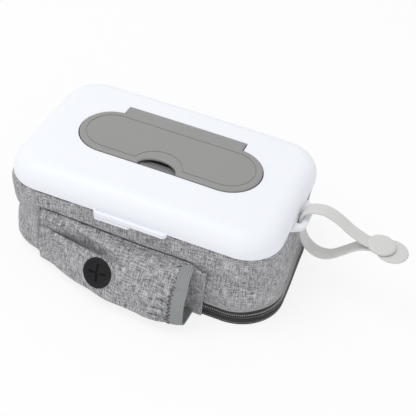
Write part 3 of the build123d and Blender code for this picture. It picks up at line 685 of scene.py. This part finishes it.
def zipLine(z, startX, out=0.0, step=zipRun["step"], endX=zipRun["startX"]):
    # open path along the outline: front from startX, round the right end, back to endX
    xy, normals = outlineLoop(*pouchShape["zipOutline"])
    path = settle(xy, normals, min(z, pouchShape["zipZ"])) + normals * out
    front = (normals[:, 1] < -zipRun["straightOn"]) & (path[:, 0] >= startX)
    back = (normals[:, 1] > zipRun["straightOn"]) & (path[:, 0] >= endX)
    middle = (xy[:, 0] > zipRun["cornerX"]) & ~front & ~back
    line = np.vstack([[(startX, path[front][0, 1])], path[front | middle | back], [(endX, path[back][-1, 1])]])
    along = lengthsAlong(line)
    return atHeight(pointsAt(np.linspace(0, along[-1], int(along[-1] / step)), along, line), z)


def tapeBand(name, low, high, node, body):
    count, depth, bulge = zipRun["tapeColumns"], zipRun["tapeDepth"], zipRun["tapeBulge"]
    topRound, footRound = zipRun["tapeRound"]
    profile = [(-depth, high), (0.0, high), (bulge, high - topRound),
               (bulge, low + footRound), (0.0, low), (-depth, low)]
    layers, uvs = [], []
    for out, z in profile:
        path = zipLine(z, zipRun["startX"], out)
        layers.append(pointsAt(np.linspace(0, len(path) - 1, count), np.arange(len(path)), path))
        uvs.append(columnsOf(np.linspace(0, zipRun["tapeLength"], count), z + out))
    faces = gridFaces(len(layers) + 1, count, flip=True)
    rim = [k * count for k in range(len(profile))]
    faces += [rim, [k + count - 1 for k in rim][::-1]]
    points, uv = np.vstack([*layers, layers[0]]), np.vstack([*uvs, uvs[0]])
    piece = makePiece(name, points, faces, uv, "tapeBlack")
    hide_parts(node)
    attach(piece, body)


tapeBand("zipTapeLow", *zipRun["tapeLow"], "zip_tape_lower", "base")
tapeBand("zipTapeHigh", *zipRun["tapeHigh"], "zip_tape_upper", "pouch")


def buildPiping():
    path = zipLine(zipRun["pipingZ"], zipRun["pipingStartX"], zipRun["pipingOut"], zipRun["pipingStep"])
    piece = makePiece("zipPiping", *sweepTube(path, zipRun["pipingRadius"]), "pipingGrey")
    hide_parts("zip_piping")
    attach(piece, "pouch")


buildPiping()


# Geometry Nodes: one small form repeated along curves
def buildRepeatTree():
    tree, given, out = groupTree("repeatAlong", {
        "Geometry": "Geometry", "Form": "Object", "Pitch": "Float", "Size Jitter": "Float", "Seed": "Int",
        "Finish": "Material",
    }, {"Geometry": "Geometry"}, "GeometryNodeTree")
    curve = {"Curve": given["Geometry"], "Length": given["Pitch"]}
    evened = addNode(tree, "GeometryNodeResampleCurve", curve, mode="LENGTH")
    stations = addNode(tree, "GeometryNodeCurveToPoints", {0: evened.outputs[0]}, mode="EVALUATED").outputs
    form = addNode(tree, "GeometryNodeObjectInfo", {0: given["Form"]})
    smallest = combine("SUBTRACT", 1.0, given["Size Jitter"])
    sizes = {2: smallest, 3: 1.0, "Seed": given["Seed"]}
    placed = addNode(tree, "GeometryNodeInstanceOnPoints", {
        "Points": stations["Points"], "Instance": form.outputs["Geometry"], "Rotation": stations["Rotation"],
        "Scale": addNode(tree, "FunctionNodeRandomValue", sizes, data_type="FLOAT").outputs[1],
    })
    solid = addNode(tree, "GeometryNodeRealizeInstances", {0: placed.outputs[0]}).outputs[0]
    painted = addNode(tree, "GeometryNodeSetMaterial", {"Geometry": solid, "Material": given["Finish"]})
    feed(out, {0: painted.outputs[0]})
    return tree


repeatAlong = buildRepeatTree()
repeatSockets = {s.name: s.identifier for s in repeatAlong.interface.items_tree if s.in_out == "INPUT"}


def capsule(name, length, width, height, sides, rings):
    # small rounded bar, its long side up
    spokes = circle(sides) * (width / 2, height / 2)
    lifts = np.linspace(math.pi / 2, -math.pi / 2, rings + 2)[1:-1]
    rows = [atHeight(spokes * np.cos(lift), length / 2 * math.sin(lift)) for lift in lifts]
    return makePiece(name, *closedRings(rows, (0, 0, length / 2), (0, 0, -length / 2)))


def repeatForm(name, lines, form, pitch, finish, body, jitter, seed):
    curve = bpy.data.curves.new(name + "Line", "CURVE")
    curve.dimensions = "3D"
    for line in lines:
        spline = curve.splines.new("POLY")
        spline.points.add(len(line) - 1)
        spline.points.foreach_set("co", np.column_stack([line * mm, np.ones(len(line))]).ravel())
    guide = addObject(name + "Line", curve)
    modifier = guide.modifiers.new("repeat", "NODES")
    modifier.node_group = repeatAlong
    given = {"Form": form, "Pitch": pitch * mm, "Size Jitter": jitter, "Seed": seed, "Finish": finishes[finish]}
    for key, value in given.items():
        modifier[repeatSockets[key]] = value
    mesh = bpy.data.meshes.new_from_object(guide.evaluated_get(bpy.context.evaluated_depsgraph_get()))
    piece = addObject(name, mesh)
    mesh.polygons.foreach_set("use_smooth", [True] * len(mesh.polygons))
    bpy.data.objects.remove(guide)
    bpy.data.objects.remove(form)
    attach(piece, body)
    return piece


def buildTeeth():
    endX = zipRun["startX"] + zipRun["teethFromEnd"]
    for name, z, node, body, finish in zipRun["teeth"]:
        tooth = capsule(name + "Form", *zipRun["toothSize"], sides=8, rings=4)
        path = zipLine(z, endX, zipRun["toothOut"], zipRun["toothStep"], endX)
        piece = repeatForm(name, [path], tooth, zipRun["toothPitch"], finish, body,
                           zipRun["toothJitter"], zipRun["seed"])
        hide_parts(node)


buildTeeth()

# Sewing thread: one length, width and pitch for every seam
thread = {"length": 2.0, "width": 0.42, "flat": 0.8, "pitch": 2.7, "jitter": 0.12, "seed": 7}


def sewLines(name, lines, body, scale=1.0):
    t = thread
    form = capsule(name + "Form", t["length"] * scale, t["width"], t["width"] * t["flat"], sides=6, rings=3)
    repeatForm(name, lines, form, t["pitch"] * scale, "threadGrey", body, t["jitter"], t["seed"])


sewLines("tapeStitches", [zipLine(*zipRun["stitches"])], "base", zipRun["stitchScale"])
print("zip ready")

# Bag roll pocket: how far its cloth stands out from the panel, in columns along it, from the top seam down.
# Each row is its heights and how far out it is. The third and fourth dip behind the hem, so the pocket gapes
# at its left end.
pocket = {
    "panelY": -64.7, "left": -66.6, "right": 58.0, "hemRow": 5, "blur": 2.5,
    "x": [-66.6, -61.0, -54.0, -46.5, -39.0, -30.0, -16.0, -3.6, 9.5, 22.0, 33.6, 45.0, 50.5],
    "rows": [
        ([46.8, 46.6, 46.3, 45.9, 45.6, 45.3, 44.7, 44.2, 43.8, 43.8, 43.8, 43.8, 43.8], [0.0] * 13),
        ([43.4, 43.2, 42.9, 42.6, 42.3, 41.9, 41.5, 41.3, 41.3, 41.3, 41.3, 41.3, 41.3],
         [0.8, 1.3, 1.5, 1.7, 1.9, 2.4, 4.2, 7.4, 10.0, 10.4, 8.6, 3.4, 1.4]),
        ([38.8, 38.4, 38.0, 38.0, 38.0, 38.2, 38.4, 38.4, 38.4, 38.4, 38.4, 38.4, 38.4],
         [0.1, 0.1, 0.1, 0.2, 0.4, 0.9, 3.6, 9.4, 13.6, 14.4, 12.6, 7.8, 5.8]),
        ([33.6, 28.5, 26.0, 24.5, 24.5, 26.0, 29.5, 33.4, 36.2, 37.0, 37.0, 37.0, 37.0],
         [0.1, 0.1, 0.1, 0.2, 0.4, 0.9, 4.2, 10.8, 14.8, 15.9, 14.1, 9.5, 7.3]),
        ([34.5, 34.1, 33.7, 33.4, 33.3, 33.6, 34.5, 34.9, 35.5, 36.2, 36.2, 36.2, 36.2],
         [0.6, 2.0, 3.7, 4.9, 6.0, 8.1, 11.4, 13.9, 16.0, 16.7, 14.9, 10.3, 8.1]),
        ([34.1, 33.8, 33.5, 33.2, 33.1, 33.3, 33.9, 34.1, 34.6, 35.1, 35.1, 35.1, 35.1],
         [1.2, 2.8, 4.4, 5.7, 6.9, 9.0, 12.4, 14.6, 16.7, 17.4, 15.8, 11.4, 9.2]),
        ([31.8] * 13, [1.5, 3.1, 4.7, 6.1, 7.5, 9.9, 13.9, 15.8, 17.8, 18.4, 17.1, 13.0, 10.9]),
        ([29.0] * 13, [1.5, 3.0, 4.9, 6.8, 8.7, 11.4, 15.8, 17.8, 19.6, 20.4, 19.4, 16.2, 14.2]),
        ([22.0] * 13, [1.7, 3.1, 5.2, 7.8, 10.6, 14.0, 18.4, 20.2, 21.9, 22.8, 22.0, 19.9, 18.0]),
        ([14.0] * 13, [1.9, 3.4, 5.7, 8.6, 11.9, 15.9, 19.8, 21.2, 23.0, 24.0, 23.2, 21.2, 19.1]),
        ([9.0] * 13, [1.9, 3.4, 5.8, 8.7, 12.1, 16.2, 19.8, 21.1, 22.9, 23.9, 23.0, 21.0, 18.8]),
        ([5.6] * 13, [1.5, 2.7, 4.6, 6.9, 9.6, 12.8, 15.8, 17.0, 18.6, 19.5, 18.6, 16.8, 15.0]),
        ([4.3] * 13, [0.8, 1.5, 2.5, 3.8, 5.2, 6.8, 8.4, 9.0, 9.9, 10.3, 9.9, 9.0, 8.0]),
        ([3.6] * 13, [0.0] * 13),
    ],
    "columns": 190, "rowCount": 220, "rightEnd": 42.2, "clothThickness": 1.0, "thicknessFrom": (0.02, 0.08),
    "leftFade": (-66.6, -59), "shareFade": (0.0, 0.08, 0.86, 0.97), "uvTop": 100,
    # gathers along the elastic
    "gatherX": (12, 38, 38.8, 41.0), "gatherLeast": 0.35, "gatherBelowHem": (1, 9),
    "sway": [(1.1, 8.0, 0, 0), (0.7, 3.7, 1 / 5.0, 0)], "pleats": [(0.85, 5.4, 0, 0), (0.51, 3.1, 0, 1.0)],
    "underElastic": 0.45, "underElasticFrom": (39.4, 41.2),
    # soft swells, and drag lines below the top seam
    "soft": [(0.30, 8.3, 1 / 6.1, 0), (0.30, 5.1, -1 / 9.7, 2.0), (0.30, 13.9, 1 / 3.9, 1.0)],
    "softInGather": 0.6, "softFromHem": (0.5, 7),
    "drag": [(0.55, 3.3, 1.9 / 3.3, 0)], "dragX": -34, "dragWidth": 20, "dragDown": (2, 12),
    # hem band and the groove below it
    "hemBand": (0.0, 0.8, 2.6, 3.1), "hemRise": 0.3, "grooveAt": 3.3, "grooveDepth": 0.35, "grooveWidth": 0.5,
    "hemTo": (-14, 0), "stitchX": (-64.8, -5.0, 120), "stitchRows": (0.9, 2.5), "stitchLift": 0.05,
    "stitchScale": 0.9,
}

# Rubber outlet in the pocket: a lathed ring round a disc with a cross slit
outlet = {
    "centre": (-14.0, -82.11, 26.03), "normal": (-0.127, -0.9055, 0.4045), "lift": 0.3,
    "holeRadius": 7.7, "holeReach": 3, "padRadius": (11.8, 16.5), "padBelowHem": (0.2, 1.5), "padReach": 5,
    "padOut": 0.2,
    "profile": [(7.3, 0.5), (7.9, 0.48), (8.6, 1.05), (9.2, 1.35), (9.9, 1.38), (10.5, 1.15), (10.95, 0.7),
                (11.0, -0.3), (8.0, -0.4), (8.0, -4.7), (6.6, -4.7), (6.6, -0.2)],
    "discRadius": 6.9, "discHeight": 0.75, "discRings": 29, "sides": 144, "backZ": -0.2,
    "slitHalfLength": 6.6, "slitEnd": 0.5, "slitHalfWidth": 0.72, "slitSide": (0.6, 1.3), "slitDepth": 1.5, "turn": 8.0,
}
outletCentre = np.array(outlet["centre"])
outletNormal = np.array(outlet["normal"]) / np.linalg.norm(outlet["normal"])


def outletPlace(points):
    # distance out of the outlet's plane, and from its axis
    away = points - outletCentre
    out = away @ outletNormal
    return out, np.linalg.norm(away - out[..., None] * outletNormal, axis=-1)


def pocketSection(x, count, grow=0.0):
    # one slice of the pocket as (out, z) points, with the hem's place along it
    corners = np.array([[softTable(x, pocket["x"], side, blur=pocket["blur"]) for side in (outs, zs)]
                        for zs, outs in pocket["rows"]])
    section = splinePoints(corners, count)
    hemShare = np.argmin(np.linalg.norm(section - corners[pocket["hemRow"]], axis=1)) / (count - 1)
    if grow:
        section = section + grow * squareTo(section)
    return section, hemShare


def pocketPoints(x, section):
    return columnsOf(x, pocket["panelY"] - section[:, 0], section[:, 1])


def gridNormals(grid):
    n = np.cross(np.gradient(grid, axis=1), np.gradient(grid, axis=0))
    n /= np.maximum(np.linalg.norm(n, axis=2)[..., None], 1e-9)
    return n if n[n.shape[0] // 2, n.shape[1] // 2, 1] < 0 else -n


def pocketCloth():
    p = pocket
    grid, uv, hems = [], [], []
    for x in np.linspace(p["left"], p["rightEnd"], p["columns"]):
        section, hemShare = pocketSection(x, p["rowCount"])
        along = lengthsAlong(section)
        grid.append(pocketPoints(x, section))
        uv.append(columnsOf(x, p["uvTop"] - along))
        hems.append(hemShare * along[-1])
    grid, uv, hems = np.array(grid), np.array(uv), np.array(hems)
    normals = gridNormals(grid)
    u, v = uv[..., 0], uv[..., 1]
    share = np.linspace(0, 1, p["rowCount"])[None]
    fromTop = p["uvTop"] - v
    fromHem = fromTop - hems[:, None]
    ends = rise(u, *p["leftFade"]) * span(share, *p["shareFade"])
    belowHem = p["gatherLeast"] + (1 - p["gatherLeast"]) * rise(fromHem, *p["gatherBelowHem"])
    gather = span(u, *p["gatherX"]) * belowHem
    pleats = gather * ripples(2 * math.pi * (v + ripples(u, v, p["sway"])), 0, p["pleats"])
    soft = ripples(u, v, p["soft"]) * (1 - p["softInGather"] * gather)
    soft = soft * rise(np.abs(fromHem), *p["softFromHem"])
    drag = ripples(u, v, p["drag"]) * bell(u - p["dragX"], p["dragWidth"]) * fall(fromTop, *p["dragDown"])
    groove = p["grooveDepth"] * bell(fromHem - p["grooveAt"], p["grooveWidth"])
    hemRelief = (p["hemRise"] * span(fromHem, *p["hemBand"]) - groove) * fall(u, *p["hemTo"])
    outside = p["clothThickness"] * rise(share, *p["thicknessFrom"])
    outside = outside + (pleats + soft + drag + hemRelief) * ends
    outside = outside - p["underElastic"] * rise(u, *p["underElasticFrom"])
    moved = grid + normals * outside[..., None]
    out, radius = outletPlace(moved)
    pad = fall(radius, *outlet["padRadius"]) * rise(fromHem, *outlet["padBelowHem"])
    pad = pad * (np.abs(out) < outlet["padReach"])
    moved = moved - outletNormal * ((out - outlet["padOut"]) * pad)[..., None]
    return moved, uv, normals, hems


clothGrid, clothUv, clothNormals, hemAlong = pocketCloth()


def onPocket(xs, offset, lift):
    # points on the pocket's cloth, so many millimetres below its hem
    line = []
    for x in xs:
        c = int(np.argmin(np.abs(clothGrid[:, 0, 0] - x)))
        along, at = pocket["uvTop"] - clothUv[c, :, 1], [hemAlong[c] + offset]
        line.append(pointsAt(at, along, clothGrid[c])[0] + lift * pointsAt(at, along, clothNormals[c])[0])
    return np.array(line)


def buildPocket():
    out, radius = outletPlace(clothGrid)
    cloth = ~((radius < outlet["holeRadius"]) & (np.abs(out) < outlet["holeReach"]))  # the outlet's hole
    faces = gridFaces(*clothGrid.shape[:2], keep=cloth)
    piece = makeSheet("pocketCloth", clothGrid, faces, clothUv, "heatherGrey", pocket["clothThickness"])
    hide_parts("pocket_sleeve")
    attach(piece, "pouch")
    hemXs = np.linspace(*pocket["stitchX"])
    lines = [onPocket(hemXs, offset, pocket["stitchLift"]) for offset in pocket["stitchRows"]]
    sewLines("hemStitches", lines, "pouch", pocket["stitchScale"])


buildPocket()

# Panel behind the pocket, sewn on along its top and right edges
panel = {
    "columns": 130, "rows": 60, "topZ": 45.3, "bottomZ": 1.0, "thickness": 1.1, "cornerDrop": 4.6, "cornerX": (43, 57),
    "topTuck": 1.8, "topShare": (0.965, 1.0), "sideTuck": 0.9, "sideX": (57.0, 58.0), "sideFrom": 14,
    "soft": [(0.18, 6.0, 1 / 5.0, 0)], "stitchDown": (39.5, 2.5, 40), "stitchIn": 2.4, "stitchOut": 0.12,
}


def buildPanel():
    columns, rows = panel["columns"], panel["rows"]
    xs, share = np.linspace(pocket["left"], pocket["right"], columns), np.linspace(0, 1, rows)
    top = panel["topZ"] + np.interp(xs, *pocketSeamRise) - panel["cornerDrop"] * rise(xs, *panel["cornerX"])
    z = panel["bottomZ"] + (top[:, None] - panel["bottomZ"]) * share[None]
    x = np.broadcast_to(xs[:, None], z.shape)
    tuck = rise(share, *panel["topShare"])[None] * panel["topTuck"]
    tuck = tuck + rise(x, *panel["sideX"]) * panel["sideTuck"] * (z > panel["sideFrom"])
    y = pocket["panelY"] + tuck + ripples(x, z, panel["soft"])
    faces = gridFaces(columns, rows, flip=True)
    piece = makeSheet("pocketPanel", np.stack([x, y, z], -1), faces, np.stack([x, z], -1), "heatherGrey",
                      panel["thickness"])
    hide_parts("pocket_backing")
    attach(piece, "pouch")
    place = (pocket["right"] - panel["stitchIn"], pocket["panelY"] - panel["stitchOut"])
    edge = np.array([(*place, down) for down in np.linspace(*panel["stitchDown"])])
    sewLines("panelStitches", [edge], "pouch")


buildPanel()

# Elastic mouth of the pocket, held by a zigzag seam
mouth = {
    "leftX": 40.4, "width": 10.0, "grow": 1.55, "roll": 0.35, "thickness": 1.3, "rows": 130, "columns": 16,
    "footSlant": 1.4, "footZ": (8, 40), "topSlant": 0.9, "topZ": (30, 42), "wave": 0.35, "waves": 13, "uvLength": 75,
    "zigzags": 42, "zigzagRows": (4, 12), "zigzagOut": 1.1, "zigzagColumn": 2, "zigzagLift": 0.2, "zigzagRadius": 0.3,
}


def mouthGrid():
    m, rows = mouth, mouth["rows"]
    slices, uvs = [], []
    for t in np.linspace(0, 1, m["columns"]):
        x = m["leftX"] + m["width"] * t
        section, _ = pocketSection(x, rows, m["grow"] + m["roll"] * (math.sin(math.pi * t) - 1))
        z = section[:, 1]
        slant = m["footSlant"] * fall(z, *m["footZ"]) - m["topSlant"] * rise(z, *m["topZ"])
        waves = m["wave"] * (1 - t) * np.sin(np.linspace(0, 2 * m["waves"] * math.pi, rows))
        slices.append(pocketPoints(x + slant + waves, section))
        uvs.append(columnsOf(x, np.linspace(0, m["uvLength"], rows)))
    return np.array(slices), np.array(uvs)


def buildMouth():
    m, (grid, uv) = mouth, mouthGrid()
    faces = gridFaces(m["columns"], m["rows"])
    piece = makeSheet("pocketElastic", grid, faces, uv, "elasticGrey", m["thickness"])
    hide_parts("pocket_binding")
    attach(piece, "pouch")
    normals = gridNormals(grid)
    firstRow, lastRow = m["zigzagRows"]
    zigzag = []
    for k, at in enumerate(np.linspace(firstRow, m["rows"] - lastRow, m["zigzags"])):
        # by turns on the elastic, and on the gathered cloth beside it
        r, c = int(round(at)), 0 if k % 2 else m["zigzagColumn"]
        zigzag.append(grid[c, r] + (normals[c, r] * m["zigzagLift"] if c else (-m["zigzagOut"], 0, 0)))
    tube = sweepTube(np.array(zigzag), m["zigzagRadius"], 6, upward=(1.0, 0, 0))
    seam = makePiece("mouthZigzag", *tube, "threadDark")
    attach(seam, "pouch")


buildMouth()


def buildOutlet():
    o, normal = outlet, outletNormal
    across = np.cross([0, 0, 1.0], normal)
    across /= np.linalg.norm(across)
    upward = np.cross(normal, across)
    disc = [(r, o["discHeight"]) for r in np.linspace(0, o["discRadius"], o["discRings"] + 1)[1:]]
    turn = math.radians(o["turn"])
    inner, outer = (o["slitHalfWidth"] * k for k in o["slitSide"])
    rings = []
    for k, (r, h) in enumerate(disc + o["profile"]):
        a, b = r * circle(o["sides"]).T
        ra, rb = a * math.cos(turn) + b * math.sin(turn), -a * math.sin(turn) + b * math.cos(turn)
        sink = np.zeros(o["sides"])
        for p, q in ((ra, rb), (rb, ra)) if k < len(disc) else ():
            slit = fall(np.abs(q), inner, outer)
            slit = slit * fall(np.abs(p), o["slitHalfLength"] - o["slitEnd"], o["slitHalfLength"])
            sink = np.maximum(sink, slit)
        out = h + o["lift"] - o["slitDepth"] * sink
        rings.append(outletCentre + a[:, None] * across + b[:, None] * upward + out[:, None] * normal)
    front = outletCentre + normal * (o["discHeight"] + o["lift"] - o["slitDepth"])
    back = outletCentre + normal * (o["lift"] + o["backZ"])
    piece = makePiece("outletRubber", *closedRings(rings, front, back), None, "rubberBlack")
    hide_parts("outlet_grommet")
    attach(piece, "pouch")


buildOutlet()
print("pocket ready")

# Hand strap: a soft-edged silicone band through the lug, its button on its tab
strap = {
    "route": [(160.0, 58.2), (150.0, 58.2), (138.0, 63.0), (128.0, 69.0), (118.0, 72.4), (108.6, 70.6), (103.4, 66.0),
              (102.2, 60.7), (102.9, 54.0), (105.2, 46.0), (110.0, 38.4), (118.0, 34.0), (127.0, 35.4), (136.0, 43.1),
              (145.0, 51.5), (154.0, 55.4), (162.2, 56.2), (168.0, 56.2)],
    "steps": 190, "width": 11.0, "thickness": 1.6, "edge": 0.65, "edgeSteps": 5, "sides": 72,
    "buttonX": 160.0, "tabX": 168.0,
    "button": [(0, 60.15), (6.5, 60.12), (8.6, 59.95), (9.5, 59.6), (9.95, 59.0), (10.0, 58.3), (9.8, 57.7),
               (9.2, 57.42), (0, 57.4)],
    "tab": [(0, 57.0), (10.2, 57.0), (11.1, 56.75), (11.5, 56.2), (11.5, 55.7), (11.1, 55.2), (10.2, 55.0), (0, 55.0)],
}


def lathe(profile, centreX):
    rings = [atHeight((centreX, 0) + r * circle(strap["sides"]), z) for r, z in profile[1:-1]]
    return closedRings(rings, (centreX, 0, profile[0][1]), (centreX, 0, profile[-1][1]))


def buildStrap():
    path = splinePoints(strap["route"], strap["steps"])
    side = squareTo(path)
    half, thick, edge = strap["width"] / 2, strap["thickness"] / 2, strap["edge"]
    section = []
    for k, (across, up) in enumerate(((1, 1), (-1, 1), (-1, -1), (1, -1))):
        for a in np.radians(np.linspace(90 * k, 90 * k + 90, strap["edgeSteps"])):
            section.append((across * (half - edge) + edge * math.cos(a), up * (thick - edge) + edge * math.sin(a)))
    across, out = np.array(section).T
    count = len(section)
    rings = np.zeros((len(path), count, 3))
    rings[..., [0, 2]] = path[:, None] + side[:, None] * out[None, :, None]
    rings[..., 1] = across
    faces = gridFaces(len(path), count, closed=True, capped=True)
    points = rings.reshape(-1, 3)
    for name in ("button", "tab"):
        more, moreFaces = lathe(strap[name], strap[name + "X"])
        faces += [[i + len(points) for i in f] for f in moreFaces]
        points = np.vstack([points, more])
    piece = makePiece("strapBand", points, faces, None, "siliconeGrey")
    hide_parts("hand_strap")
    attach(piece, "strap")


buildStrap()
print("strap ready")
